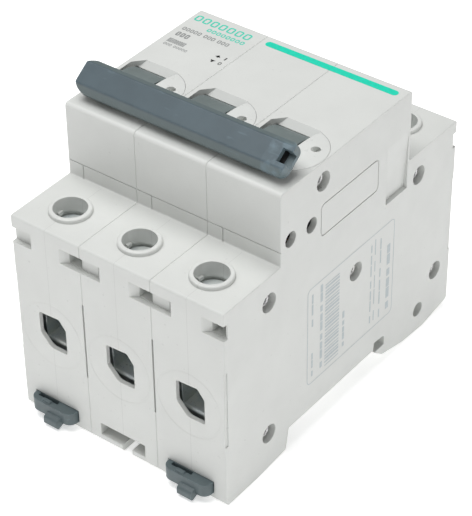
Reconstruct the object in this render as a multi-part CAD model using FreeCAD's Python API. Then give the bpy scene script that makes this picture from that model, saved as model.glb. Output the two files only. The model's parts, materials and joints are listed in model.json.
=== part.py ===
import FreeCAD, Part
import math
import os

# Three-pole miniature circuit breaker for a 35 mm DIN rail, lying on its back.
# Millimetres. +Z points out of the front, away from the rail; +X runs across the poles and
# -Y is the side of the DIN clips. The origin is on the rail seat, in the middle pole, below
# the middle of the raised front.

Vec = FreeCAD.Vector
ORIGIN = Vec(0, 0, 0)
X_AXIS = Vec(1, 0, 0)
Y_AXIS = Vec(0, 1, 0)
Z_AXIS = Vec(0, 0, 1)

# --- driving dimensions -------------------------------------------------------------------
POLES = (1, 2, 3)
PITCH = 18.0                 # width of one pole
HALF = PITCH / 2
FACE_Y = 40.75               # terminal faces at plus and minus this
BACK_Z = -6.0                # rear of the lugs behind the rail seat
SHOULDER_Z = 44.0            # shoulders with the screw holes
FRONT_Z = 61.2               # raised front with the toggles
FRONT_HALF = 22.5            # half height of the raised front
LUG_Y = -19.5                # inner face of the clip lug
GROOVE_Y = 15.5              # end of the groove under the fixed hook
RAIL_GAP = 0.9               # room for the rail's flange under the seat

SIDE_WALL = 1.4
FRONT_WALL = 1.8
END_WALL = 1.0
EDGE_R = 0.2                 # rounding of the outer side edges
CAVITY_FLOOR = 3.5
CAVITY_TOP = 42.2
CAVITY_Y = 25.0
RIB = 1.5                    # wall between mechanism and terminal chambers
CHAMBER_FLOOR = 9.0
CHAMBER_TOP = 36.0

TERMINAL_Y = 32.6            # terminal screws at plus and minus this
SCREW_R = 2.4
SCREW_HEAD_R = 4.0
SCREW_HEAD_Z = (37.2, 40.4)
SCREW_TIP_Z = 24.3
RING_OUTER_R = 4.55
RING_INNER_R = 3.6
RING_TOP_Z = SHOULDER_Z + 0.9
LIP_Z = 41.4                 # underside of the lip that keeps the screw's head in
PLATE_Z = (22.6, 24.1)       # terminal plate on which the wire is clamped
CAGE_Z = (11.9, 27.6)
CAGE_HALF_X = 5.0
CAGE_HALF_Y = 5.9
CAGE_WALL = 1.4
JAW_Z = 13.6                 # top of the cage's lower jaw

AXLE = Vec(0, -8.5, 53.0)    # axis of the toggles
AXLE_R = 1.5
HUB_R = 9.45
HUB_X = (-6.0, 2.5)
SLOT_R = HUB_R + 0.12
SLOT_X = (-7.3, 2.65)
TOGGLE_TILT = 35.0           # degrees from upright, towards -Y, when off
HANDLE_TRAVEL = 70.0
SCOOP_HALF = 8.2             # half length of the scoop round the toggle
RUN_GAP = 0.05               # radial clearance of a running fit

GUARD_CENTRE = (0.8, AXLE.y)
GUARD_R = 7.95
GUARD_DEPTH = 1.0
GUARD_RISE = 1.1

CREST_W = 17.0               # radius from the axle to the tie bar's crest
BAR_X = (-25.8, 25.8)
BAR_WALL = 1.2

CONTACT_PIVOT = Vec(0, -14.5, 33.0)
CONTACT_TRAVEL = 16.5
CONTACT_TIP = Vec(0, 2.0, 22.0)
LINK_TOP = Vec(0, -4.0, 49.85)
LINK_FOOT = Vec(0, -7.0, 34.0)
LINK_R = 0.8
LINK_TRAVEL = -91.0          # turn of the link in the lever over the handle's travel
TRIP_PIVOT = Vec(0, -20.0, 40.0)
PIN_R = 1.0
COIL_Z = 31.0
COIL_Y = (7.2, 19.0)
PLUNGER_R = 2.0

CLIP_Z = (-4.05, -1.05)
CLIP_GAP = 0.1
CLIP_POLES = (1, 3)

RIVET_R = 1.2
RIVET_HEAD_R = 1.65
RIVET_HOLLOW_R = 0.75
RIVET_RECESS_R = 2.2
RIVET_RECESS = 1.9           # depth of the recess below the side face
RIVET_SUNK = 1.1             # depth of the rivet head's top below the side face
BOSS_R = 3.1                 # thickened wall behind a recess
BOSS_DEPTH = 1.1
RIVETS = ((-26.3, 37.7), (3.7, 26.6), (26.4, 38.0), (34.9, 7.4), (-26.5, 3.6))
STUD = (AXLE.y, 56.5)        # short rivet in the cover, above the axle


# --- plain helpers ------------------------------------------------------------------------
def block(x, y, z):
    """A box from three (low, high) pairs."""
    size = (x[1] - x[0], y[1] - y[0], z[1] - z[0])
    return Part.makeBox(*size, Vec(x[0], y[0], z[0]))


def rod(start, direction, radius, length):
    return Part.makeCylinder(radius, length, start, direction)


def x_rod(y, z, radius, x):
    return rod(Vec(x[0], y, z), X_AXIS, radius, x[1] - x[0])


def fuse(shapes):
    return shapes[0].multiFuse(list(shapes[1:])).removeSplitter()


def rounded_wire(points):
    """A closed wire through points given as (a, b, radius), with a tangent arc at each."""
    count = len(points)
    starts, arcs, ends = [], [], []
    for i in range(count):
        before = Vec(*points[i - 1][:2], 0)
        corner = Vec(*points[i][:2], 0)
        after = Vec(*points[(i + 1) % count][:2], 0)
        back = (before - corner).normalize()
        ahead = (after - corner).normalize()
        half_angle = back.getAngle(ahead) / 2
        radius = points[i][2]
        reach = radius / math.tan(half_angle)
        start = corner + back * reach
        end = corner + ahead * reach
        starts.append(start)
        ends.append(end)
        if radius > 0:
            bisector = (back + ahead).normalize()
            middle = corner + bisector * (radius / math.sin(half_angle) - radius)
            arcs.append(Part.Arc(start, middle, end).toShape())
        else:
            arcs.append(None)
    edges = []
    for i in range(count):
        if arcs[i]:
            edges.append(arcs[i])
        following = starts[(i + 1) % count]
        if (following - ends[i]).Length > 1e-6:
            edges.append(Part.makeLine(ends[i], following))
    return Part.Wire(edges)


def prism_x(points, x):
    """Extrude (y, z, radius) points along X between the two ends of x."""
    face = Part.Face(rounded_wire(points))
    face.Placement = FreeCAD.Placement(Vec(x[0], 0, 0), FreeCAD.Rotation(Y_AXIS, Z_AXIS, X_AXIS, "ZXY"))
    return face.extrude(Vec(x[1] - x[0], 0, 0))


def prism_z(points, z):
    """Extrude (x, y, radius) points along Z between the two ends of z."""
    face = Part.Face(rounded_wire(points))
    face.translate(Vec(0, 0, z[0]))
    return face.extrude(Vec(0, 0, z[1] - z[0]))


def prism_y(points, y):
    """Extrude (x, z, radius) points along Y between the two ends of y."""
    flat = Part.Face(rounded_wire(points))
    flat.rotate(ORIGIN, X_AXIS, 90)
    flat.translate(Vec(0, y[0], 0))
    return flat.extrude(Vec(0, y[1] - y[0], 0))


def sharp(*points):
    return [(a, b, 0) for a, b in points]


def turned(shape, centre, degrees):
    """A copy turned about the X direction through centre."""
    copy = shape.copy()
    copy.rotate(centre, X_AXIS, degrees)
    return copy


def mirrored_y(shape):
    return shape.mirror(ORIGIN, Y_AXIS)


def pole_x(pole):
    return (pole - 2) * PITCH


def at_pole(shape, pole):
    copy = shape.copy()
    copy.translate(Vec(pole_x(pole), 0, 0))
    return copy


# --- casing -------------------------------------------------------------------------------
def side_outline():
    """Outline of one pole seen from the side, as (y, z, radius)."""
    return [
        (-FACE_Y, BACK_Z, 1.0),
        (-30.0, BACK_Z, 0),
        (LUG_Y - 1.0, BACK_Z + 0.8, 0.8),
        (LUG_Y, 0, 0),
        (11.4, 0, 0),
        (11.6, 2.0, 0.4),
        (GROOVE_Y, 1.6, 0.8),
        (GROOVE_Y, -RAIL_GAP, 0.3),
        (11.7, -RAIL_GAP, 0.2),
        (15.0, -3.5, 1.5),
        (23.0, -5.3, 3.0),
        (31.0, -5.8, 3.0),
        (FACE_Y, -4.2, 1.0),
        (FACE_Y, SHOULDER_Z, 0.5),
        (FRONT_HALF, SHOULDER_Z, 0.3),
        (FRONT_HALF, FRONT_Z, 0.9),
        (-FRONT_HALF, FRONT_Z, 0.9),
        (-FRONT_HALF, SHOULDER_Z, 0.3),
        (-FACE_Y, SHOULDER_Z, 0.5),
    ]


def shell_block(side):
    """Solid half pole with a rounded outer side; side is -1 for the case, 1 for the cover."""
    x = (-HALF, 0) if side < 0 else (0, HALF)
    body = prism_x(side_outline(), x)
    outer = [e for e in body.Edges if abs(e.BoundBox.XMin - side * HALF) < 1e-4
             and abs(e.BoundBox.XMax - side * HALF) < 1e-4]
    return body.makeFillet(EDGE_R, outer)


def cavities():
    """Mechanism chamber and the two terminal chambers."""
    inner = HALF - SIDE_WALL
    x = (-inner, inner)
    low_front = block(x, (-CAVITY_Y, CAVITY_Y), (CAVITY_FLOOR, CAVITY_TOP))
    turret_y = FRONT_HALF - FRONT_WALL
    high_front = block(x, (-turret_y, turret_y), (CAVITY_TOP - 1, FRONT_Z - FRONT_WALL))
    chamber = block(x, (CAVITY_Y + RIB, FACE_Y - END_WALL), (CHAMBER_FLOOR, CHAMBER_TOP))
    bosses = [x_rod(y, z, BOSS_R, (inner - BOSS_DEPTH, HALF)) for y, z in RIVETS + (STUD,)]
    bosses += [x_rod(y, z, BOSS_R, (-HALF, BOSS_DEPTH - inner)) for y, z in RIVETS]
    return [space.cut(bosses) for space in (low_front.fuse(high_front), chamber, mirrored_y(chamber))]


def wire_entry():
    """Six-sided wire entry in the -Y face."""
    points = [(-3.3, 21.7, 0.5), (2.1, 22.0, 0.5), (3.8, 19.8, 0.5), (3.8, 13.5, 0.5),
              (-0.6, 13.4, 2.0), (-3.3, 16.4, 1.5)]
    return prism_y(points, (-FACE_Y - 1, -CAVITY_Y - RIB - 2))


def entry_groove():
    """Fine round groove about the wire entry."""
    ring_r, width, depth = 7.8, 0.4, 0.02
    start = Vec(0, -FACE_Y - depth, 17.0)
    outer = rod(start, Y_AXIS, ring_r + width, 2 * depth)
    return outer.cut(rod(start, Y_AXIS, ring_r, 2 * depth))


def screw_bore():
    """Stepped hole from the shoulder down to the terminal screw."""
    centre = Vec(0, -TERMINAL_Y, 0)
    clearance = 0.15
    seat_z = SCREW_HEAD_Z[0] - 0.1
    steps = [(RING_INNER_R, LIP_Z, RING_TOP_Z + 1),
             (SCREW_HEAD_R + clearance, seat_z, LIP_Z),
             (SCREW_R + clearance, CHAMBER_TOP - 1, seat_z)]
    bores = [rod(centre + Z_AXIS * low, Z_AXIS, radius, high - low) for radius, low, high in steps]
    stop = block((-RING_INNER_R - 0.1, -2.9), (-TERMINAL_Y - 0.3, -TERMINAL_Y + 1.0), (LIP_Z, LIP_Z + 0.8))
    bores[0] = bores[0].cut(stop)
    return bores


def screw_ring():
    """Raised round collar about the screw hole."""
    base = Vec(0, -TERMINAL_Y, SHOULDER_Z - 0.5)
    collar = rod(base, Z_AXIS, RING_OUTER_R, RING_TOP_Z - base.z)
    top = [e for e in collar.Edges if e.BoundBox.ZMin > RING_TOP_Z - 0.01]
    return collar.makeFillet(0.4, top)


def busbar_slots():
    """Slot that straddles the join of two poles on the -Y face: the part in each pole."""
    z = (37.4, 41.1)
    window_z = (37.6, 40.9)
    face = -FACE_Y - 1
    bottom = -FACE_Y + 1.2
    left = prism_z([(3.6, -FACE_Y - 0.01, 0), (5.2, bottom, 0), (HALF + 1, bottom, 0),
                    (HALF + 1, face, 0), (3.6, face, 0)], z)
    right = block((-HALF - 1, -3.9), (face, bottom), z)
    window = block((5.3, HALF - 0.35), (face, bottom + 3.3), window_z)
    pocket = block((-5.1, -4.0), (face, bottom + 2.8), window_z)
    return [left, right, window, pocket]


def join_slits():
    """Narrow slits where two poles meet on the -Y face."""
    width, depth = 0.22, 0.8
    slits = []
    for x in ((-HALF - 1, -HALF + width), (HALF - width, HALF + 1)):
        slits.append(block(x, (-FACE_Y - 1, -FACE_Y + depth), (10.0, 29.2)))
    return slits


def toggle_opening():
    """Scoop in the front and the slot in which the hub turns."""
    slot = x_rod(AXLE.y, AXLE.z, SLOT_R, SLOT_X)
    tip = SCOOP_HALF - 2.5
    flare = SLOT_X[0] - 0.6
    plan = [(SLOT_X[1], AXLE.y + SCOOP_HALF, 0), (-5.6, AXLE.y + SCOOP_HALF, 0.3),
            (flare, AXLE.y + tip, 0.5), (flare, AXLE.y - tip, 0.5),
            (-5.6, AXLE.y - SCOOP_HALF, 0.3), (SLOT_X[1], AXLE.y - SCOOP_HALF, 0)]
    rise = FRONT_Z - AXLE.z
    deep = 6.6
    profile = [(AXLE.y - SCOOP_HALF, FRONT_Z + 1), (AXLE.y - SCOOP_HALF, AXLE.z + rise),
               (AXLE.y - deep, AXLE.z + deep), (AXLE.y + deep, AXLE.z + deep),
               (AXLE.y + SCOOP_HALF, AXLE.z + rise), (AXLE.y + SCOOP_HALF, FRONT_Z + 1)]
    scoop = prism_z(plan, (AXLE.z, FRONT_Z + 1)).common(prism_x(sharp(*profile), (-HALF, HALF)))
    return [slot, scoop]


def guard_pocket():
    """Round pocket for the toggle guard, right of the hub."""
    floor = FRONT_Z - GUARD_DEPTH
    disc = rod(Vec(*GUARD_CENTRE, floor), Z_AXIS, GUARD_R + 0.05, GUARD_DEPTH + 1)
    return disc.common(block((SLOT_X[1], HALF), (-FRONT_HALF, FRONT_HALF), (floor, FRONT_Z + 1)))


def clip_slot():
    """Slot through the lug for the DIN clip, with a channel open to the rear."""
    z = (CLIP_Z[0] - CLIP_GAP, CLIP_Z[1] + CLIP_GAP)
    y = (-FACE_Y - 1, LUG_Y + 1)
    slot = block((-6.2, 5.7), y, z)
    channel = block((-0.5, 2.1), y, (BACK_Z - 1, z[0] + 0.5))
    return [slot, channel]


def plate_slot():
    """Slot in the rib through which the terminal plate passes."""
    return block((-3.4, 3.4), (-CAVITY_Y - RIB - 1, -CAVITY_Y + 1), (PLATE_Z[0] - 0.1, PLATE_Z[1] + 0.1))


def pin_holes():
    """Blind sockets in both walls for the axle and the two pivot pins."""
    x = (-HALF + 0.8, HALF - 0.8)
    holes = [x_rod(AXLE.y, AXLE.z, AXLE_R, x)]
    for pivot in (CONTACT_PIVOT, TRIP_PIVOT):
        holes.append(x_rod(pivot.y, pivot.z, PIN_R, x))
    return holes


def rivet_holes(side):
    """Through holes with a recess for the rivet heads in the outer side."""
    outer = (HALF - RIVET_RECESS, HALF + 1) if side > 0 else (-HALF - 1, -HALF + RIVET_RECESS)
    holes = []
    for y, z in RIVETS:
        holes.append(x_rod(y, z, RIVET_R, (-HALF - 1, HALF + 1)))
        holes.append(x_rod(y, z, RIVET_RECESS_R, outer))
    return holes


def side_marks():
    """Recesses and fine engraved lines in the outer side of a cover."""
    x = (HALF - 0.2, HALF + 1)
    frame = [(-9.2, 43.1, 1.2), (11.0, 43.1, 1.2), (11.0, 51.0, 1.2), (-9.2, 51.0, 1.2)]
    inner = [(-8.95, 43.35, 1.0), (10.75, 43.35, 1.0), (10.75, 50.75, 1.0), (-8.95, 50.75, 1.0)]
    marks = [prism_x(frame, x).cut(prism_x(inner, x))]
    depth = 0.9
    wedge = [(HALF - depth, 37.4), (HALF + 1, 37.4), (HALF + 1, 51.5), (HALF, 51.5)]
    marks.append(prism_y(sharp(*wedge), (14.0, 21.8)))
    through = (HALF - SIDE_WALL - 0.5, HALF + 1)
    for y, z, radius in ((-12.3, 48.1, 1.75), (-19.3, 48.9, 1.75)):
        marks.append(x_rod(y, z, radius, through))
    marks.append(x_rod(28.6, 0.3, 1.75, (HALF - 3, HALF + 1)))
    marks.append(x_rod(*STUD, RIVET_RECESS_R, (HALF - RIVET_RECESS, HALF + 1)))
    return marks


def front_lines():
    """Fine parting lines of the cover plate on the step and the front."""
    groove = 0.14
    step = block((-HALF, HALF), (-FRONT_HALF - 1, -FRONT_HALF + groove), (47.3, 47.5))
    riser = block((-5.2, -5.0), (-FRONT_HALF - 1, -FRONT_HALF + groove), (SHOULDER_Z, 47.4))
    return [step, riser]


def pole_half(side):
    """Case (side -1) or cover (side 1) of one pole, about its own middle."""
    keep = block((-HALF, 0) if side < 0 else (0, HALF), (-60, 60), (-20, 90))
    collars = [screw_ring(), mirrored_y(screw_ring())]
    body = fuse([shell_block(side)] + [c.common(keep) for c in collars])
    tools = cavities() + toggle_opening() + clip_slot() + pin_holes() + rivet_holes(side)
    both_ends = [wire_entry(), entry_groove(), plate_slot()] + screw_bore() + busbar_slots() + join_slits()
    tools += both_ends + [mirrored_y(tool) for tool in both_ends] + front_lines()
    if side > 0:
        tools += [guard_pocket()] + side_marks()
    return body.cut(tools)


def toggle_guard():
    """Domed insert that fills the front right of the hub."""
    base = FRONT_Z - GUARD_DEPTH
    sphere_r = (GUARD_R ** 2 + GUARD_RISE ** 2) / (2 * GUARD_RISE)
    centre = Vec(*GUARD_CENTRE, FRONT_Z + GUARD_RISE - sphere_r)
    disc = rod(Vec(*GUARD_CENTRE, base), Z_AXIS, GUARD_R, GUARD_DEPTH + 2 * GUARD_RISE)
    dome = disc.common(Part.makeSphere(sphere_r, centre))
    dome = dome.cut(block((-HALF, SLOT_X[1] + 0.05), (-60, 60), (base - 1, FRONT_Z + 9)))
    sight_hole = rod(Vec(6.1, -6.1, base + 0.4), Vec(-0.2, -0.6, 1), 0.8, 9)
    return dome.cut(sight_hole)


def rivet_head(y, z):
    """Rolled hollow head at the bottom of a recess in the +X side."""
    face = HALF - RIVET_SUNK
    head = x_rod(y, z, RIVET_HEAD_R, (HALF - RIVET_RECESS, face))
    head = head.cut(x_rod(y, z, RIVET_HOLLOW_R, (face - 0.5, face + 1)))
    rim = [e for e in head.Edges if e.BoundBox.XMin > face - 0.01]
    return head.makeFillet(0.3, rim)


def rivets():
    """Long rivets with a head at each side of each pole, and the short one in the cover."""
    solids = []
    for pole in POLES:
        for y, z in RIVETS:
            shank = x_rod(y, z, RIVET_R, (-HALF + RIVET_RECESS, HALF - RIVET_RECESS))
            head = rivet_head(y, z)
            far_head = head.mirror(ORIGIN, X_AXIS)
            solids.append(at_pole(fuse([shank, head, far_head]), pole))
        solids.append(at_pole(rivet_head(*STUD), pole))
    return Part.makeCompound(solids)


# --- toggle and tie bar -------------------------------------------------------------------
def upright(points):
    """Points as (along Y, radius from the axle, corner radius), made absolute."""
    return [(AXLE.y + u, AXLE.z + w, r) for u, w, r in points]


def tilted(shape):
    return turned(shape, AXLE, TOGGLE_TILT)


def toggle_lever():
    """Hollow drum with an arm under the tie bar, shown off."""
    floor_w = -2.0
    drum = x_rod(AXLE.y, AXLE.z, HUB_R, HUB_X)
    drum = drum.common(block(HUB_X, (-60, 60), (AXLE.z + floor_w, 90)))
    cheek = 1.3
    hollow = x_rod(AXLE.y, AXLE.z, HUB_R - 1.4, (HUB_X[0] + cheek, HUB_X[1] - cheek))
    arm = prism_x(upright([(-1.6, 8.6, 0), (1.6, 8.6, 0), (1.6, 15.6, 0.5), (-1.6, 15.6, 0.5)]),
                  (-5.0, 1.5))
    crank = prism_x(upright([(-3.5, -1.0, 0), (5.5, -1.0, 0), (3.9, -7.2, 1.8), (-0.1, -7.2, 1.8)]),
                    (HUB_X[1] - cheek, HUB_X[1]))
    body = tilted(fuse([drum.cut(hollow), arm, crank]))
    body = body.cut(x_rod(AXLE.y, AXLE.z, AXLE_R + RUN_GAP, (-HALF, HALF)))
    return body.cut(x_rod(LINK_TOP.y, LINK_TOP.z, LINK_R + RUN_GAP, (-HALF, HALF)))


def handle_tie_bar():
    """Channel section over the three arms, with rounded ends and a notch open to the hollow."""
    crest, side_u, shoulder_w, foot_w = 2.4, 3.7, CREST_W - 1.5, CREST_W - 3.1
    outer = [(-crest, CREST_W, 0.3), (-side_u, shoulder_w, 0.4), (-side_u, foot_w, 0.2),
             (side_u, foot_w, 0.2), (side_u, shoulder_w, 0.4), (crest, CREST_W, 0.3)]
    bar = prism_x(upright(outer), BAR_X)
    inner_u = side_u - BAR_WALL
    inner = [(-1.7, CREST_W - BAR_WALL, 0.2), (-inner_u, CREST_W - 2.2, 0.2), (-inner_u, foot_w - 1, 0),
             (inner_u, foot_w - 1, 0), (inner_u, CREST_W - 2.2, 0.2), (1.7, CREST_W - BAR_WALL, 0.2)]
    wall = 1.6
    hollow = prism_x(upright(inner), (BAR_X[0] + wall, BAR_X[1] - wall))
    low = AXLE.z + foot_w - 1
    high = AXLE.z + CREST_W + 1
    plan = [(BAR_X[0], AXLE.y - side_u, 1.8), (BAR_X[1], AXLE.y - side_u, 1.8),
            (BAR_X[1], AXLE.y + side_u, 1.8), (BAR_X[0], AXLE.y + side_u, 1.8)]
    bar = bar.common(prism_z(plan, (low, high)))
    notch_depth = 2.2
    notch = block((BAR_X[1] - wall - 0.6, BAR_X[1] + 1), (AXLE.y - 1.45, AXLE.y + 1.45),
                  (AXLE.z + CREST_W - notch_depth, high))
    return tilted(bar.cut([hollow, notch]))


def toggle_axles():
    pin = x_rod(AXLE.y, AXLE.z, AXLE_R, (-HALF + 0.8, HALF - 0.8))
    return Part.makeCompound([at_pole(pin, pole) for pole in POLES])


def return_springs():
    """Torsion spring round each toggle axle, inside the drum: close turns and two legs."""
    coil_r, wire_r, pitch, turns = 2.5, 0.35, 0.75, 5
    first = -3.4
    last = first + pitch * (turns - 1)
    centres = [Vec(first + pitch * i, AXLE.y, AXLE.z) for i in range(turns)]
    rings = [Part.makeTorus(coil_r, wire_r, centre, X_AXIS) for centre in centres]
    spine = x_rod(AXLE.y - coil_r, AXLE.z, wire_r, (first, last))
    leg = rod(Vec(first, AXLE.y - coil_r, AXLE.z), Vec(0, 0, -1), wire_r, 5.0)
    far_leg = rod(Vec(last, AXLE.y - coil_r, AXLE.z), Vec(0, 0, -1), wire_r, 5.0)
    spring = fuse([spine, leg, far_leg] + rings)
    return Part.makeCompound([at_pole(spring, pole) for pole in POLES])


# --- contacts and linkage -----------------------------------------------------------------
def link_rod():
    """Bent wire from the toggle's crank to the contact arm."""
    stem_x = -1.4
    run = LINK_FOOT - LINK_TOP
    stem = rod(LINK_TOP + X_AXIS * stem_x, run, LINK_R, run.Length)
    top = x_rod(LINK_TOP.y, LINK_TOP.z, LINK_R, (stem_x, HUB_X[1]))
    foot = x_rod(LINK_FOOT.y, LINK_FOOT.z, LINK_R, (stem_x, 3.0))
    knees = [Part.makeSphere(LINK_R, point + X_AXIS * stem_x) for point in (LINK_TOP, LINK_FOOT)]
    return fuse([stem, top, foot] + knees)


def foot_slot(x):
    """Slot in the contact arm for the link's foot, which dips as the toggle passes its centre."""
    steps = 8
    holes = []
    for i in range(steps + 1):
        part_way = i / steps
        foot = turned(Part.Vertex(LINK_FOOT), LINK_TOP, -LINK_TRAVEL * part_way)
        foot = turned(foot, AXLE, -HANDLE_TRAVEL * part_way)
        foot = turned(foot, CONTACT_PIVOT, CONTACT_TRAVEL * part_way).Point
        holes.append(x_rod(foot.y, foot.z, LINK_R + 0.15, x))
    return fuse(holes)


def moving_contact():
    """Contact arm with its silver tip, shown open."""
    x = (0.3, 1.9)
    pivot = CONTACT_PIVOT
    outline = [(pivot.y - 2.4, pivot.z - 2.2, 2.0), (pivot.y - 2.4, pivot.z + 2.4, 2.0),
               (LINK_FOOT.y + 2.4, LINK_FOOT.z + 2.6, 1.5), (LINK_FOOT.y + 2.6, LINK_FOOT.z - 2.0, 1.5),
               (CONTACT_TIP.y + 1.4, CONTACT_TIP.z + 1.6, 0.8),
               (CONTACT_TIP.y + 0.6, CONTACT_TIP.z - 0.9, 0.5),
               (CONTACT_TIP.y - 2.2, CONTACT_TIP.z - 0.3, 0.5),
               (LINK_FOOT.y - 1.8, LINK_FOOT.z - 5.0, 2.0)]
    arm = prism_x(outline, x)
    arm = arm.cut(x_rod(pivot.y, pivot.z, PIN_R + RUN_GAP, x))
    arm = arm.cut(foot_slot(x))
    closed_tip = turned(Part.Vertex(CONTACT_TIP), pivot, -CONTACT_TRAVEL).Point
    tip_y = (closed_tip.y - 1.6, closed_tip.y + 1.2)
    tip = block((-0.9, 3.1), tip_y, (closed_tip.z - 1.9, closed_tip.z - 0.6))
    return fuse([arm, turned(tip, pivot, CONTACT_TRAVEL)])


def fixed_contact():
    """Bent copper strip with the fixed silver tip, joined to the coil."""
    closed_tip = turned(Part.Vertex(CONTACT_TIP), CONTACT_PIVOT, -CONTACT_TRAVEL).Point
    top = closed_tip.z - 2.15
    shelf = block((-3, 3), (-6.0, 5.3), (top - 2.6, top - 1.2))
    tip = block((-1.2, 3.4), (closed_tip.y - 1.8, closed_tip.y + 1.4), (top - 1.3, top))
    riser = block((-3, 0), (4.0, 5.3), (top - 2.6, 23.4))
    return fuse([shelf, tip, riser])


def arc_chute():
    """Stack of notched splitter plates between two side boards."""
    y, half_x, plates, pitch, gauge = (7.2, 22.4), 5.4, 9, 1.55, 0.8
    notch = [(-2.2, y[0] - 1, 0), (2.2, y[0] - 1, 0), (0.9, y[0] + 6.0, 0.5), (-0.9, y[0] + 6.0, 0.5)]
    solids = []
    for i in range(plates):
        low = 6.2 + i * pitch
        plate = block((-half_x, half_x), y, (low, low + gauge))
        solids.append(plate.cut(prism_z(notch, (low - 1, low + gauge + 1))))
    for x in ((-half_x - 1.0, -half_x), (half_x, half_x + 1.0)):
        solids.append(block(x, y, (5.8, 6.6 + plates * pitch)))
    return fuse(solids)


def arc_runners():
    """Bent strip from below the contact arm to the floor of the arc chute."""
    points = sharp((-17.0, 16.0), (-11.2, 4.4), (22.0, 4.4), (22.0, 5.2), (-10.7, 5.2), (-16.2, 16.2))
    strip = prism_x(points, (-3.0, 3.0))
    return Part.makeCompound([at_pole(strip, pole) for pole in POLES])


def pivot_pins():
    """Steel pins of the contact arm and the trip lever."""
    solids = []
    for pole in POLES:
        for pivot in (CONTACT_PIVOT, TRIP_PIVOT):
            solids.append(at_pole(x_rod(pivot.y, pivot.z, PIN_R, (-HALF + 0.8, HALF - 0.8)), pole))
    return Part.makeCompound(solids)


# --- trip unit ----------------------------------------------------------------------------
def trip_coil():
    """Heavy copper winding on its bobbin, wound round the Y direction."""
    low, high = COIL_Y
    bore, barrel, flange, flange_width = PLUNGER_R + 0.06, 3.4, 6.4, 0.9
    turns = 6
    pitch = (high - low - 2 * flange_width) / turns
    bumps = []
    for i in range(turns):
        at = low + flange_width + pitch * i
        top = Vec(0, at + pitch / 2, barrel + 1.0 + pitch / 2)
        bumps.append(Part.Arc(Vec(0, at, barrel + 1.0), top, Vec(0, at + pitch, barrel + 1.0)).toShape())
    path = [Vec(0, high - flange_width, barrel + 1.0), Vec(0, high - flange_width, flange),
            Vec(0, high, flange), Vec(0, high, bore), Vec(0, low, bore), Vec(0, low, flange),
            Vec(0, low + flange_width, flange), Vec(0, low + flange_width, barrel + 1.0)]
    lines = [Part.makeLine(a, b) for a, b in zip(path, path[1:])]
    winding = Part.Face(Part.Wire(bumps + lines)).revolve(ORIGIN, Y_AXIS, 360)
    winding.translate(Vec(0, 0, COIL_Z))
    return winding


def coil_yokes():
    """Steel frame round each coil."""
    gauge, half_x, top = 1.2, 5.6, COIL_Z + 8.2
    low, high = COIL_Y[0] - 0.1, COIL_Y[1] + 0.1
    outline = sharp((low - gauge, COIL_Z - 5.5), (low, COIL_Z - 5.5), (low, top - gauge),
                    (high, top - gauge), (high, COIL_Z - 5.5), (high + gauge, COIL_Z - 5.5),
                    (high + gauge, top), (low - gauge, top))
    frame = prism_x(outline, (-half_x, half_x))
    bore = rod(Vec(0, low - gauge - 1, COIL_Z), Y_AXIS, PLUNGER_R + 0.06, gauge + 2)
    frame = frame.cut(bore)
    return Part.makeCompound([at_pole(frame, pole) for pole in POLES])


def plunger():
    """Iron core of the coil with its striker nose."""
    nose = rod(Vec(0, 2.0, COIL_Z), Y_AXIS, 1.2, 4.0)
    core = rod(Vec(0, 5.0, COIL_Z), Y_AXIS, PLUNGER_R, 9.0)
    return fuse([nose, core])


def trip_lever():
    """Latch lever that hangs beside the bimetal."""
    pivot = TRIP_PIVOT
    outline = [(pivot.y - 2.0, pivot.z + 2.0, 1.0), (pivot.y - 2.0, pivot.z - 2.2, 1.0),
               (pivot.y + 0.2, pivot.z - 14.0, 0.3), (pivot.y + 1.8, pivot.z - 14.0, 0.3),
               (pivot.y + 2.0, pivot.z - 2.0, 1.0), (pivot.y + 6.0, pivot.z - 0.8, 0.4),
               (pivot.y + 6.0, pivot.z + 0.8, 0.4), (pivot.y + 1.8, pivot.z + 2.0, 0.8)]
    body = prism_x(outline, (-5.0, -1.6))
    return body.cut(x_rod(pivot.y, pivot.z, PIN_R + RUN_GAP, (-HALF, HALF)))


def bimetal():
    """Bimetal strip on its bent foot."""
    thick, y, half_x = 0.9, -23.4, 2.6
    strip = block((-half_x, half_x), (y, y + thick), (8.0, 30.0))
    foot = block((-half_x, half_x), (y, -18.4), (6.8, 8.0))
    hook = block((-half_x, -0.6), (y, -21.2), (29.2, 30.4))
    return fuse([strip, foot, hook])


def braids():
    """Copper braid from each bimetal to the root of the contact arm."""
    x, radius, straight = 3.9, 0.8, 1.6
    start, middle, end = Vec(x, -21.9, 27.4), Vec(x, -20.2, 26.4), Vec(x, -17.4, 24.9)
    bend = Part.Arc(start, middle, end).toShape()
    run = Part.makeLine(end, end + bend.tangentAt(bend.LastParameter) * straight)
    section = Part.Wire(Part.makeCircle(radius, start, bend.tangentAt(bend.FirstParameter)))
    braid = Part.Wire([bend, run]).makePipeShell([section], True, True)
    return Part.makeCompound([at_pole(braid, pole) for pole in POLES])


# --- terminals ----------------------------------------------------------------------------
def terminal_cage():
    """Sliding clamp frame of the -Y terminal."""
    x = (-CAGE_HALF_X, CAGE_HALF_X)
    y = (-TERMINAL_Y - CAGE_HALF_Y, -TERMINAL_Y + CAGE_HALF_Y)
    body = block(x, y, CAGE_Z)
    verticals = [e for e in body.Edges if e.BoundBox.ZLength > 10]
    body = body.makeFillet(0.8, verticals)
    half = CAGE_HALF_X - CAGE_WALL
    window = [(-half, 25.0, 0.6), (half, 25.0, 0.6), (half, JAW_Z, 0), (-half, JAW_Z, 0)]
    body = body.cut(prism_y(window, (y[0] - 1, y[1] + 1)))
    jaw = [e for e in body.Edges if e.BoundBox.YLength < 0.01 and abs(e.BoundBox.ZMax - JAW_Z) < 0.01
           and e.BoundBox.XLength > CAGE_HALF_X and e.BoundBox.ZLength < 0.01]
    body = body.makeFillet(0.7, jaw)
    thread = rod(Vec(0, -TERMINAL_Y, 20), Z_AXIS, SCREW_R + RUN_GAP, 20)
    return body.cut(thread)


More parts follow.
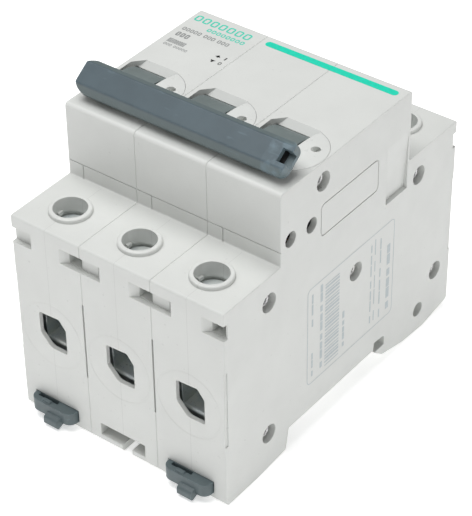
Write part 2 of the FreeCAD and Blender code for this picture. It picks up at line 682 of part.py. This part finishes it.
def terminal_screw():
    """Slotted cross-head clamp screw of the -Y terminal."""
    centre = Vec(0, -TERMINAL_Y, 0)
    head_low, head_high = SCREW_HEAD_Z
    head = rod(centre + Z_AXIS * head_low, Z_AXIS, SCREW_HEAD_R, head_high - head_low)
    top = [e for e in head.Edges if e.BoundBox.ZMin > head_high - 0.01]
    head = head.makeFillet(0.4, top)
    shank = rod(centre + Z_AXIS * SCREW_TIP_Z, Z_AXIS, SCREW_R, head_low - SCREW_TIP_Z + 0.5)
    slot_z = (head_high - 1.6, head_high + 1)
    slot = block((-SCREW_HEAD_R, SCREW_HEAD_R), (-TERMINAL_Y - 0.5, -TERMINAL_Y + 0.5), slot_z)
    cross = block((-0.5, 0.5), (-TERMINAL_Y - 1.2, -TERMINAL_Y + 1.2), slot_z)
    return fuse([head, shank]).cut([slot, cross])


def terminal_plates():
    """Copper tongue through the rib into each terminal chamber."""
    y = (-TERMINAL_Y - CAGE_HALF_Y - 0.8, -22.6)
    plate = block((-3.3, 3.3), y, PLATE_Z)
    bimetal_gap = block((-4, 4), (-23.5, -22), (PLATE_Z[0] - 1, PLATE_Z[1] + 1))
    plate = plate.cut(bimetal_gap)
    solids = []
    for pole in POLES:
        solids += [at_pole(plate, pole), at_pole(mirrored_y(plate), pole)]
    return Part.makeCompound(solids)


# --- DIN clip -----------------------------------------------------------------------------
def din_clip():
    """Sliding clip of one pole, about the pole's middle."""
    face = -FACE_Y
    plan = [(-5.9, face - 2.4, 1.9), (5.5, face - 2.4, 1.9), (5.5, face + 3.0, 0.3), (4.6, face + 4.0, 0.5),
            (4.6, LUG_Y + 0.6, 0.5), (2.6, LUG_Y + 3.3, 0.5), (-3.0, LUG_Y + 3.3, 0.5),
            (-5.0, LUG_Y + 0.6, 0.5), (-5.0, face + 4.0, 0.5), (-5.9, face + 3.0, 0.3)]
    plate = prism_z(plan, CLIP_Z)
    grip = [(face - 3.6, -5.8, 0.6), (face - 3.6, -3.4, 0.8), (face - 1.0, -2.4, 0), (face - 1.0, -4.8, 0)]
    tab = prism_x(grip, (-1.2, 2.5))
    top = CLIP_Z[1]
    recess = block((-4.7, 0.6), (face - 1.0, face - 0.1), (top - 1.2, top + 1))
    lug = block((-2.9, -0.7), (face - 2.0, face - 1.0), (top - 0.5, top + 0.35))
    lug = lug.makeFillet(0.25, [e for e in lug.Edges if e.BoundBox.ZMin > top + 0.3])
    return fuse([plate.cut(recess), tab, lug])


# --- write the nodes ----------------------------------------------------------------------
def pole_nodes(pole):
    """Nodes that repeat in every pole, built about the middle pole."""
    lower_cage = terminal_cage()
    lower_screw = terminal_screw()
    return {
        f"pole_{pole}_case": CASE,
        f"pole_{pole}_cover": COVER,
        f"toggle_guard_{pole}": toggle_guard(),
        f"toggle_lever_{pole}": toggle_lever(),
        f"link_rod_{pole}": link_rod(),
        f"moving_contact_{pole}": moving_contact(),
        f"fixed_contact_{pole}": fixed_contact(),
        f"arc_chute_{pole}": arc_chute(),
        f"trip_coil_{pole}": trip_coil(),
        f"plunger_{pole}": plunger(),
        f"trip_lever_{pole}": trip_lever(),
        f"bimetal_{pole}": bimetal(),
        f"lower_cage_{pole}": lower_cage,
        f"upper_cage_{pole}": mirrored_y(lower_cage),
        f"lower_screw_{pole}": lower_screw,
        f"upper_screw_{pole}": mirrored_y(lower_screw),
    }


CASE = pole_half(-1)
COVER = pole_half(1)

nodes = {
    "handle_tie_bar": handle_tie_bar(),
    "rivets": rivets(),
    "toggle_axles": toggle_axles(),
    "pivot_pins": pivot_pins(),
    "return_springs": return_springs(),
    "coil_yokes": coil_yokes(),
    "arc_runners": arc_runners(),
    "braids": braids(),
    "terminal_plates": terminal_plates(),
}
for number in POLES:
    for name, solid in pole_nodes(number).items():
        nodes[name] = at_pole(solid, number)
for number in CLIP_POLES:
    nodes[f"din_clip_{number}"] = at_pole(din_clip(), number)

os.makedirs("parts", exist_ok=True)
for name, solid in sorted(nodes.items()):
    solid.exportStep(f"parts/{name}.step")
    print(name, solid.isValid(), len(solid.Solids), round(solid.Volume, 1))
print(len(nodes), "nodes")
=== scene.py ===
import json
import math

import bmesh
import bpy
from mathutils import Matrix, Vector


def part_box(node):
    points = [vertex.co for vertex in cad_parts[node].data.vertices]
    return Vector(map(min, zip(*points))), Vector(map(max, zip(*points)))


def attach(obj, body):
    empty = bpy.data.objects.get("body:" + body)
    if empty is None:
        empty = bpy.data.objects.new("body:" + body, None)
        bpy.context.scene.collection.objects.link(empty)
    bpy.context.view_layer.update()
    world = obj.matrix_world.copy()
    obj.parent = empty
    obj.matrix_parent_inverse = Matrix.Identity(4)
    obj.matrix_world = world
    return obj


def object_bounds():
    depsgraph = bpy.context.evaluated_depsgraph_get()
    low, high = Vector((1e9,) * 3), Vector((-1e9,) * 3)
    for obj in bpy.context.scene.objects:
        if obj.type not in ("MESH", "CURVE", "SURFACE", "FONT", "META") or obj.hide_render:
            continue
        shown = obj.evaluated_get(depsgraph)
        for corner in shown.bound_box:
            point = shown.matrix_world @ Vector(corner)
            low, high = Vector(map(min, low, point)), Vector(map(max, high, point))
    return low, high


# Looks of a three-pole circuit breaker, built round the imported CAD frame. Metres.
# +Z points out of the front with the toggles, +X runs across the poles, -Y is the face with
# the rail clips.

MM = 0.001

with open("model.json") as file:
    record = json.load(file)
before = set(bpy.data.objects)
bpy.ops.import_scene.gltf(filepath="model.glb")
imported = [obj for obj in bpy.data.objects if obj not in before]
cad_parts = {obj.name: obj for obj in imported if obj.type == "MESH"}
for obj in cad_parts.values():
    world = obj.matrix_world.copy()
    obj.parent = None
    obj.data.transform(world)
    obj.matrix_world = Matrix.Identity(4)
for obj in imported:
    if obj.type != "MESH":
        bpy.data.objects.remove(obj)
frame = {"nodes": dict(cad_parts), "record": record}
CAD_LOW, CAD_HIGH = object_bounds()
NODES = frame["nodes"]
SLOT_OF = {part["node"]: part["material_slot"] for part in frame["record"]["subparts"]}

# --- driving dimensions, from the frame ----------------------------------------------------
POLE_COUNT = 3
PITCH = (CAD_HIGH.x - CAD_LOW.x) / POLE_COUNT
FRONT_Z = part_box("pole_2_case")[1].z
SIDE_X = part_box("pole_3_cover")[1].x
TURRET_Y = 23 * MM           # beyond this, along Y, only the terminal ends remain
AXLE = Vector(next(joint["pos_m"] for joint in frame["record"]["behaviour"]["joints"]
                   if joint["name"] == "handle"))
TILT = math.radians(35)      # lean of the toggles towards -Y when off
CREST = 17 * MM              # from the toggles' axle to the crest of the tie bar
BAR_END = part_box("handle_tie_bar")[1].x
WEB_DEPTH = 2.6 * MM         # from the bar's crest down to the web inside its hollow
INK = 0.02 * MM              # thickness of printed marks
INK_LIFT = 0.01 * MM         # gap below a mark, so that it never fights with the face

# --- view ----------------------------------------------------------------------------------
CAMERA_PLACE = (0.21723, -0.28161, 0.29419)
CAMERA_AHEAD = (-0.48575, 0.62561, -0.61045)
CAMERA_RIGHT = (0.79553, 0.60579, -0.01218)
CAMERA_LENS = 146.76         # millimetres, on a sensor 36 wide
FLOOR_HALF = 1.5

# --- colours, linear -----------------------------------------------------------------------
BODY = (0.660, 0.672, 0.652)
GUARD = (0.705, 0.720, 0.700)
HANDLE = (0.068, 0.100, 0.118)
HUB = (0.150, 0.182, 0.180)
CLIP = (0.092, 0.122, 0.130)
TEAL = (0.004, 0.640, 0.440)
TEAL_LETTERS = (0.06, 0.62, 0.46)
DARK_INK = (0.06, 0.06, 0.06)
GREY_INK = (0.27, 0.28, 0.28)
PALE_INK = (0.46, 0.51, 0.53)


# --- node helpers --------------------------------------------------------------------------
class Shader:
    """A material's node tree, with one short call per kind of node."""

    def __init__(self, name, color, roughness, metallic=0.0):
        self.material = bpy.data.materials.new(name)
        self.material.use_nodes = True
        self.material.diffuse_color = (*color, 1)
        self.tree = self.material.node_tree
        self.surface = self.tree.nodes["Principled BSDF"]
        self.surface.inputs["Base Color"].default_value = (*color, 1)
        self.surface.inputs["Roughness"].default_value = roughness
        self.surface.inputs["Metallic"].default_value = metallic
        self.place = self.tree.nodes.new("ShaderNodeTexCoord").outputs["Object"]

    def link(self, output, socket):
        self.tree.links.new(output, socket)

    def stretched(self, scale):
        """Object coordinates multiplied by scale along X, Y and Z."""
        node = self.tree.nodes.new("ShaderNodeMapping")
        node.inputs["Scale"].default_value = scale
        self.link(self.place, node.inputs["Vector"])
        return node.outputs["Vector"]

    def noise(self, size, detail=3.0, stretch=(1, 1, 1)):
        """Noise whose features are about size metres across."""
        node = self.tree.nodes.new("ShaderNodeTexNoise")
        node.inputs["Scale"].default_value = 1 / size
        node.inputs["Detail"].default_value = detail
        self.link(self.stretched(stretch), node.inputs["Vector"])
        return node.outputs["Fac"]

    def ranged(self, value, low, high, to_low=0.0, to_high=1.0, smooth=False):
        """value mapped from low..high to to_low..to_high, and held there outside."""
        node = self.tree.nodes.new("ShaderNodeMapRange")
        node.interpolation_type = "SMOOTHSTEP" if smooth else "LINEAR"
        self.link(value, node.inputs["Value"])
        sockets = ("From Min", "From Max", "To Min", "To Max")
        for socket, number in zip(sockets, (low, high, to_low, to_high)):
            node.inputs[socket].default_value = number
        return node.outputs["Result"]

    def math(self, operation, first, second=0.0):
        """One sum; each side is a number or an output."""
        node = self.tree.nodes.new("ShaderNodeMath")
        node.operation = operation
        for socket, value in zip(node.inputs, (first, second)):
            if isinstance(value, (int, float)):
                socket.default_value = value
            else:
                self.link(value, socket)
        return node.outputs[0]

    def mixed(self, factor, first, second):
        """Blend of two colours; each is a triple or an output. Inputs 0, 6 and 7 are the
        factor and the two colours."""
        node = self.tree.nodes.new("ShaderNodeMix")
        node.data_type = "RGBA"
        self.link(factor, node.inputs[0])
        for socket, value in ((node.inputs[6], first), (node.inputs[7], second)):
            if isinstance(value, tuple):
                socket.default_value = (*value, 1)
            else:
                self.link(value, socket)
        return node.outputs[2]

    def turned(self, angle):
        """Object coordinates turned about X."""
        node = self.tree.nodes.new("ShaderNodeMapping")
        node.inputs["Rotation"].default_value = (angle, 0, 0)
        self.link(self.place, node.inputs["Vector"])
        return node.outputs["Vector"]

    def flat_normal(self):
        return self.tree.nodes.new("ShaderNodeNewGeometry").outputs["Normal"]

    def component(self, vector, axis):
        node = self.tree.nodes.new("ShaderNodeSeparateXYZ")
        self.link(vector, node.inputs[0])
        return node.outputs["XYZ".index(axis)]

    def soft_edges(self, radius):
        """Normal of the surface with its edges rounded off; radius is a number or an output."""
        node = self.tree.nodes.new("ShaderNodeBevel")
        node.samples = 4
        if isinstance(radius, float):
            node.inputs["Radius"].default_value = radius
        else:
            self.link(radius, node.inputs["Radius"])
        return node.outputs["Normal"]

    def edge_mask(self, rounded):
        """1 on the edges, where the rounded normal leaves the flat one, and 0 elsewhere."""
        dot = self.tree.nodes.new("ShaderNodeVectorMath")
        dot.operation = "DOT_PRODUCT"
        self.link(rounded, dot.inputs[0])
        self.link(self.flat_normal(), dot.inputs[1])
        return self.ranged(dot.outputs["Value"], 0.995, 0.90)

    def bump(self, height, distance, strength=1.0, normal=None):
        node = self.tree.nodes.new("ShaderNodeBump")
        node.inputs["Strength"].default_value = strength
        node.inputs["Distance"].default_value = distance
        self.link(height, node.inputs["Height"])
        if normal is not None:
            self.link(normal, node.inputs["Normal"])
        return node.outputs["Normal"]

    def finish(self, color=None, roughness=None, normal=None, metallic=None):
        for socket, value in (("Base Color", color), ("Roughness", roughness), ("Normal", normal),
                              ("Metallic", metallic)):
            if value is not None:
                self.link(value, self.surface.inputs[socket])
        return self.material


def shaded(color, factor):
    return tuple(channel * factor for channel in color)


# --- materials -----------------------------------------------------------------------------
def body_plastic():
    """Light grey matt thermoplastic, with a faint joint down the middle of each pole's ends."""
    m = Shader("body_plastic", BODY, 0.42)
    mottle = m.ranged(m.noise(9 * MM), 0.3, 0.7)
    color = m.mixed(mottle, shaded(BODY, 0.975), shaded(BODY, 1.02))
    specks = m.ranged(m.noise(0.9 * MM, detail=1.0), 0.735, 0.775)
    color = m.mixed(specks, color, shaded(BODY, 0.92))
    across = m.component(m.place, "X")
    fold = m.math("PINGPONG", m.math("ADD", across, 2 * PITCH), PITCH / 2)
    line = m.ranged(fold, 0.02 * MM, 0.08 * MM, 1.0, 0.0, smooth=True)
    out = m.math("ABSOLUTE", m.component(m.place, "Y"))
    joint = m.math("MULTIPLY", line, m.math("GREATER_THAN", out, TURRET_Y))
    color = m.mixed(m.math("MULTIPLY", joint, 0.28), color, shaded(BODY, 0.5))
    rounded = m.soft_edges(m.ranged(fold, 0.1 * MM, 0.4 * MM, 0.02 * MM, 0.15 * MM))
    grain = m.bump(m.noise(0.28 * MM), 0.010 * MM, 0.6, rounded)
    groove = m.bump(m.math("SUBTRACT", 1.0, joint), 0.02 * MM, 0.6, grain)
    return m.finish(color, m.ranged(m.noise(3 * MM), 0.3, 0.7, 0.38, 0.5), groove)


def guard_plastic():
    """White satin thermoplastic."""
    m = Shader("guard_plastic", GUARD, 0.3)
    color = m.mixed(m.ranged(m.noise(4 * MM), 0.3, 0.7), shaded(GUARD, 0.97), shaded(GUARD, 1.02))
    normal = m.bump(m.noise(0.4 * MM), 0.008 * MM, 0.6, m.soft_edges(0.25 * MM))
    return m.finish(color, m.ranged(m.noise(2 * MM), 0.3, 0.7, 0.26, 0.36), normal)


def bar_plastic():
    """The tie bar's slate, with painted light: paler faces below the crest and a mottled highlight on
    the bent-down right end.
    """
    m = Shader("handle_plastic", HANDLE, 0.42)
    color = m.mixed(m.ranged(m.noise(5 * MM), 0.3, 0.7), shaded(HANDLE, 0.93), shaded(HANDLE, 1.07))
    height = m.component(m.turned(-TILT), "Z")
    crest = AXLE.z * math.cos(TILT) - AXLE.y * math.sin(TILT) + CREST
    # painted light: the faces below the crest are painted paler and greener, for how light falls on
    # them
    flank_painted_light = m.ranged(height, crest - 0.45 * MM, crest - 0.15 * MM, 1.0, 0.0, smooth=True)
    color = m.mixed(flank_painted_light, color, (HANDLE[0] * 1.5, HANDLE[1] * 1.35, HANDLE[2] * 1.18))
    # painted highlight: the last 5 mm of the right end, where the crest bends down, is painted paler
    # and broken up with noise
    end_bend_region = m.ranged(m.component(m.place, "X"), BAR_END - 5.4 * MM, BAR_END - 5.1 * MM)
    bend_highlight_mottle = m.ranged(m.noise(1.6 * MM, detail=4.0), 0.40, 0.68, 0.06, 0.5)
    color = m.mixed(m.math("MULTIPLY", end_bend_region, bend_highlight_mottle), color, shaded(HANDLE, 2.4))
    return worn_and_highlit(m, color, HANDLE, 0.42, 0.9)


def tinted_plastic(name, tint, roughness, edge_wear_and_highlight):
    """Coloured thermoplastic with scratches and paler edges, the edges part rubbed and part painted
    highlight.
    """
    m = Shader(name, tint, roughness)
    color = m.mixed(m.ranged(m.noise(5 * MM), 0.3, 0.7), shaded(tint, 0.92), shaded(tint, 1.08))
    return worn_and_highlit(m, color, tint, roughness, edge_wear_and_highlight)


def worn_and_highlit(m, color, tint, roughness, edge_wear_and_highlight):
    """Finish a coloured plastic with scratches, paler edges (part rubbed, part painted highlight) and
    a fine grain.
    """
    scratches = m.noise(1.2 * MM, detail=4.0, stretch=(0.22, 1.0, 1.0))
    rubbed = m.ranged(scratches, 0.66, 0.76)
    color = m.mixed(m.math("MULTIPLY", rubbed, 0.35), color, shaded(tint, 2.2))
    rounded = m.soft_edges(0.28 * MM)
    patches = m.ranged(m.noise(2.5 * MM), 0.35, 0.6)
    # paler edges: part rubbed plastic, part painted highlight where the edges catch the light
    edges = m.math("MULTIPLY", m.edge_mask(rounded), m.math("MULTIPLY", patches, edge_wear_and_highlight))
    color = m.mixed(edges, color, shaded(tint, 3.0))
    normal = m.bump(m.noise(0.3 * MM), 0.014 * MM, 0.7, rounded)
    rough = m.ranged(m.noise(1.5 * MM), 0.3, 0.7, roughness - 0.06, roughness + 0.08)
    return m.finish(color, rough, normal)


def inner_plastic():
    """Tan thermoset with mineral specks."""
    tint = (0.35, 0.30, 0.18)
    m = Shader("inner_plastic", tint, 0.5)
    color = m.mixed(m.ranged(m.noise(0.6 * MM), 0.45, 0.7), shaded(tint, 0.85), shaded(tint, 1.25))
    return m.finish(color, None, m.bump(m.noise(0.3 * MM), 0.02 * MM))


def metal(name, tint, roughness, stretch, patina, upward_painted_reflection=0.0):
    """Metal with drawn or turned marks along one direction, a faint patina, and a painted reflection
    on
    the faces that look up: they are made partly non-metal, so they show pale."""
    m = Shader(name, tint, roughness, metallic=1.0)
    marks = m.noise(0.5 * MM, detail=4.0, stretch=stretch)
    color = m.mixed(m.ranged(m.noise(2.5 * MM), 0.35, 0.65), shaded(tint, 0.88), patina)
    rough = m.ranged(marks, 0.3, 0.7, roughness - 0.08, roughness + 0.1)
    up = m.component(m.flat_normal(), "Z")
    normal = m.bump(marks, 0.02 * MM, 0.6, m.soft_edges(0.2 * MM))
    # painted reflection: faces that look up are made partly non-metal, so they show pale as if lit
    # from above
    return m.finish(color, rough, normal, m.ranged(up, 0.15, 0.6, 1.0, 1.0 - upward_painted_reflection))


def ink(name, tint):
    """Printed ink, slightly uneven in cover."""
    m = Shader(name, tint, 0.45)
    color = m.mixed(m.ranged(m.noise(0.5 * MM), 0.3, 0.7), shaded(tint, 0.93), shaded(tint, 1.06))
    return m.finish(color, m.ranged(m.noise(1 * MM), 0.3, 0.7, 0.4, 0.52))


MATERIALS = {
    "body_plastic": body_plastic(),
    "guard_plastic": guard_plastic(),
    "handle_plastic": bar_plastic(),
    "hub_plastic": tinted_plastic("hub_plastic", HUB, 0.5, 0.3),
    "clip_plastic": tinted_plastic("clip_plastic", CLIP, 0.42, 0.5),
    "inner_plastic": inner_plastic(),
    # the zinc carries the painted reflection on its upward faces
    "zinc_steel": metal("zinc_steel", (0.78, 0.84, 0.86), 0.34, (1, 1, 0.2), (0.80, 0.83, 0.80), 0.75),
    "bright_steel": metal("bright_steel", (0.66, 0.66, 0.67), 0.25, (0.2, 1, 1), (0.62, 0.62, 0.60)),
    "coated_steel": metal("coated_steel", (0.35, 0.36, 0.36), 0.45, (0.3, 1, 1), (0.38, 0.36, 0.33)),
    "copper": metal("copper", (0.72, 0.38, 0.22), 0.32, (1, 0.3, 1), (0.62, 0.30, 0.17)),
    "bimetal_strip": metal("bimetal_strip", (0.55, 0.52, 0.46), 0.3, (1, 1, 0.2), (0.60, 0.54, 0.44)),
}
INKS = {
    "teal_ink": ink("teal_ink", TEAL),
    "teal_line_ink": ink("teal_line_ink", TEAL_LETTERS),
    "dark_ink": ink("dark_ink", DARK_INK),
    "grey_ink": ink("grey_ink", GREY_INK),
    "pale_ink": ink("pale_ink", PALE_INK),
}


def dress_nodes():
    """Give every CAD node the material of its slot."""
    for name, node in NODES.items():
        node.data.materials.clear()
        node.data.materials.append(MATERIALS[SLOT_OF[name]])


# --- printed marks -------------------------------------------------------------------------
def rounded_outline(low, high, radius, steps=6):
    """Corners of a flat rounded rectangle from low to high, anticlockwise."""
    points = []
    centres = [(high[0] - radius, high[1] - radius, 0), (low[0] + radius, high[1] - radius, 90),
               (low[0] + radius, low[1] + radius, 180), (high[0] - radius, low[1] + radius, 270)]
    for a, b, start in centres:
        for i in range(steps + 1):
            angle = math.radians(start + 90 * i / steps)
            points.append((a + radius * math.cos(angle), b + radius * math.sin(angle)))
    return points


class Print:
    """Thin printed shapes gathered into one mesh, drawn flat in millimetres."""

    def __init__(self):
        self.mesh = bmesh.new()

    def fill(self, outline):
        """A solid shape inside the outline."""
        low = [self.mesh.verts.new((a * MM, b * MM, INK_LIFT)) for a, b in outline]
        high = [self.mesh.verts.new((a * MM, b * MM, INK_LIFT + INK)) for a, b in outline]
        self.mesh.faces.new(high)
        self.mesh.faces.new(list(reversed(low)))
        self.wall(low, high)

    def wall(self, low, high):
        """Faces between two closed rims of as many points."""
        count = len(low)
        for i in range(count):
            after = (i + 1) % count
            self.mesh.faces.new((low[i], low[after], high[after], high[i]))

    def bar(self, low, high, radius):
        self.fill(rounded_outline(low, high, radius))

    def ring(self, outer, inner):
        """A line between two outlines with as many points."""
        rims = []
        for outline in (outer, inner):
            for height in (INK_LIFT, INK_LIFT + INK):
                rims.append([self.mesh.verts.new((a * MM, b * MM, height)) for a, b in outline])
        outer_low, outer_high, inner_low, inner_high = rims
        self.wall(outer_low, outer_high)
        self.wall(inner_high, inner_low)
        self.wall(outer_high, inner_high)
        self.wall(inner_low, outer_low)

    def frame_line(self, low, high, radius, width):
        """The outline of a rounded rectangle, width wide inwards."""
        inset = (low[0] + width, low[1] + width), (high[0] - width, high[1] - width)
        self.ring(rounded_outline(low, high, radius), rounded_outline(*inset, radius - width))

    def done(self, name, onto, material, body="casing"):
        """Turn it into a piece that rides with body; onto places the flat drawing on a face."""
        bmesh.ops.recalc_face_normals(self.mesh, faces=self.mesh.faces)
        self.mesh.transform(onto)
        data = bpy.data.meshes.new(name)
        self.mesh.to_mesh(data)
        self.mesh.free()
        data.materials.append(INKS[material])
        piece = bpy.data.objects.new(name, data)
        bpy.context.scene.collection.objects.link(piece)
        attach(piece, body)


ON_FRONT = Matrix.Translation((0, 0, FRONT_Z))
# on the side, the drawing's first axis runs along +Y and its second along +Z
ON_SIDE = Matrix(((0, 0, 1, SIDE_X), (1, 0, 0, 0), (0, 1, 0, 0), (0, 0, 0, 1)))


def front_stripe():
    drawing = Print()
    drawing.bar((-7.7, 18.6), (25.4, 20.4), 0.89)
    drawing.done("front_stripe", ON_FRONT, "teal_ink")


def switch_marks():
    """Arrow and I for on, arrow and O for off."""
    drawing = Print()
    for y, way in ((9.45, 1), (7.4, -1)):
        drawing.fill([(-13.2, y - 0.3 * way), (-11.9, y - 0.3 * way), (-12.55, y + 0.45 * way)][::way])
        drawing.bar((-12.75, y - 0.5), (-12.35, y + 0.1), 0.05)
    drawing.bar((-10.8, 8.9), (-10.5, 9.95), 0.05)
    drawing.frame_line((-11.0, 6.85), (-10.3, 7.9), 0.34, 0.16)
    drawing.done("switch_marks", ON_FRONT, "dark_ink")


def loops(drawing, across, up, words, stroke):
    """A row of small rounded loops, in words, in the place of a line of print."""
    low, high = up
    word_gap = 0.6
    slots = sum(words) + word_gap * (len(words) - 1)
    pitch = (across[1] - across[0]) / slots
    width = 0.76 * pitch
    at = across[0]
    for word in words:
        for i in range(word):
            drawing.frame_line((at, low), (at + width, high), 0.35 * width, stroke)
            at += pitch
        at += word_gap * pitch


def front_lines():
    """Plain loops where the front carries print."""
    drawing = Print()
    loops(drawing, (-25.9, -10.9), (17.9, 20.1), (7,), 0.36)
    loops(drawing, (-20.8, -10.9), (15.8, 17.0), (8,), 0.24)
    drawing.done("front_heading_loops", ON_FRONT, "teal_line_ink")
    drawing = Print()
    loops(drawing, (-25.5, -13.2), (13.4, 14.6), (5, 3, 3), 0.2)
    loops(drawing, (-25.3, -21.8), (10.8, 12.4), (3,), 0.32)
    loops(drawing, (-25.2, -20.7), (7.9, 9.4), (9,), 0.13)
    loops(drawing, (-25.1, -18.9), (6.6, 7.4), (3, 5), 0.11)
    drawing.done("front_text_loops", ON_FRONT, "grey_ink")


def label_outline():
    drawing = Print()
    drawing.frame_line((-13.4, 7.0), (17.8, 32.2), 1.2, 0.16)
    drawing.done("side_label_outline", ON_SIDE, "pale_ink")


def stacked_bars(drawing, across, up, count, shares, radius):
    """Bars above each other from up[0] to up[1]; each fills its share of the step, in turn."""
    step = (up[1] - up[0]) / count
    for i in range(count):
        foot = up[0] + i * step
        share = shares[i % len(shares)]
        drawing.bar((across[0], foot), (across[1], foot + step * share), radius)


def label_bars():
    """Plain bars where the side label carries print."""
    drawing = Print()
    stacked_bars(drawing, (-7.2, -2.2), (8.4, 30.6), 26, (0.3, 0.475, 0.65, 0.3875, 0.5625), 0.02)
    words = (0.62, 0.92, 0.77)
    for y, width, up, count in ((-11.9, 0.5, (22.0, 31.0), 3), (-11.9, 0.5, (8.8, 15.5), 3),
                                (-8.9, 0.8, (9.0, 31.5), 9), (-0.9, 0.7, (9.4, 19.0), 5),
                                (9.2, 0.4, (9.0, 31.0), 7), (10.6, 0.3, (9.0, 31.0), 5),
                                (12.6, 0.4, (8.5, 30.5), 6), (15.3, 1.1, (9.0, 27.0), 6)):
        stacked_bars(drawing, (y, y + width), up, count, words, 0.1)
    drawing.done("side_label_bars", ON_SIDE, "pale_ink")


def bar_shade_web():
    """Rounded web inside the tie bar, below its end notch, a floor made near black to paint the shade
    seen in the notch.
    """
    drawing = Print()
    drawing.bar((21.6, -2.3), (24.1, 2.3), 0.4)
    leaning = Matrix.Translation(AXLE) @ Matrix.Rotation(TILT, 4, "X")
    below_notch = Matrix.Translation((0, 0, CREST - WEB_DEPTH))
    # painted shade: the web is near black, so the notch reads as a dark gap
    drawing.done("bar_end_shade_web", leaning @ below_notch, "dark_ink", "handle")


# --- stage, lights and camera --------------------------------------------------------------
def floor():
    """Plain pale floor just under the lowest point, with a faint glow that keeps it white."""
    half, level = FLOOR_HALF, CAD_LOW.z
    data = bpy.data.meshes.new("floor")
    corners = [(-half, -half, level), (half, -half, level), (half, half, level), (-half, half, level)]
    data.from_pydata(corners, [], [(0, 1, 2, 3)])
    plane = bpy.data.objects.new("floor", data)
    bpy.context.scene.collection.objects.link(plane)
    paint = Shader("floor_white", (0.93, 0.93, 0.93), 0.9)
    paint.surface.inputs["Emission Color"].default_value = (1, 1, 1, 1)
    paint.surface.inputs["Emission Strength"].default_value = 0.46
    tone = paint.mixed(paint.noise(0.2), (0.92, 0.92, 0.92), (0.94, 0.94, 0.94))
    data.materials.append(paint.finish(tone))


def softbox(name, place, aim, size, watts):
    data = bpy.data.lights.new(name, "AREA")
    data.shape = "RECTANGLE"
    data.size, data.size_y = size
    data.energy = watts
    lamp = bpy.data.objects.new(name, data)
    lamp.location = place
    lamp.rotation_euler = (Vector(aim) - Vector(place)).to_track_quat("-Z", "Y").to_euler()
    bpy.context.scene.collection.objects.link(lamp)


def studio():
    """Large soft lights above and to the right, a small one that glints on metal, and a white
    surround."""
    world = bpy.data.worlds.new("studio")
    world.use_nodes = True
    background = world.node_tree.nodes["Background"]
    background.inputs["Color"].default_value = (1, 1, 1, 1)
    background.inputs["Strength"].default_value = 0.26
    bpy.context.scene.world = world
    middle = (0, 0, 0.03)
    softbox("key_light", (-0.12, -0.05, 0.8), middle, (0.6, 0.6), 5.4)
    softbox("side_light", (0.9, -0.2, 0.3), middle, (0.6, 0.5), 1.45)
    softbox("glint_light", (-0.48, -0.62, 0.65), middle, (0.35, 0.35), 0.6)
    bpy.context.scene.view_settings.view_transform = "Standard"


def camera():
    """View from the right, the clip side and above."""
    ahead = Vector(CAMERA_AHEAD).normalized()
    right = Vector(CAMERA_RIGHT)
    right = (right - ahead * right.dot(ahead)).normalized()
    up = right.cross(ahead)
    data = bpy.data.cameras.new("camera")
    data.sensor_width = 36
    data.lens = CAMERA_LENS
    data.clip_start, data.clip_end = 0.01, 10
    view = bpy.data.objects.new("camera", data)
    turn = Matrix((right, up, -ahead)).transposed()
    view.matrix_world = Matrix.Translation(CAMERA_PLACE) @ turn.to_4x4()
    bpy.context.scene.collection.objects.link(view)
    bpy.context.scene.camera = view


dress_nodes()
front_stripe()
switch_marks()
front_lines()
label_outline()
label_bars()
bar_shade_web()
floor()
studio()
camera()
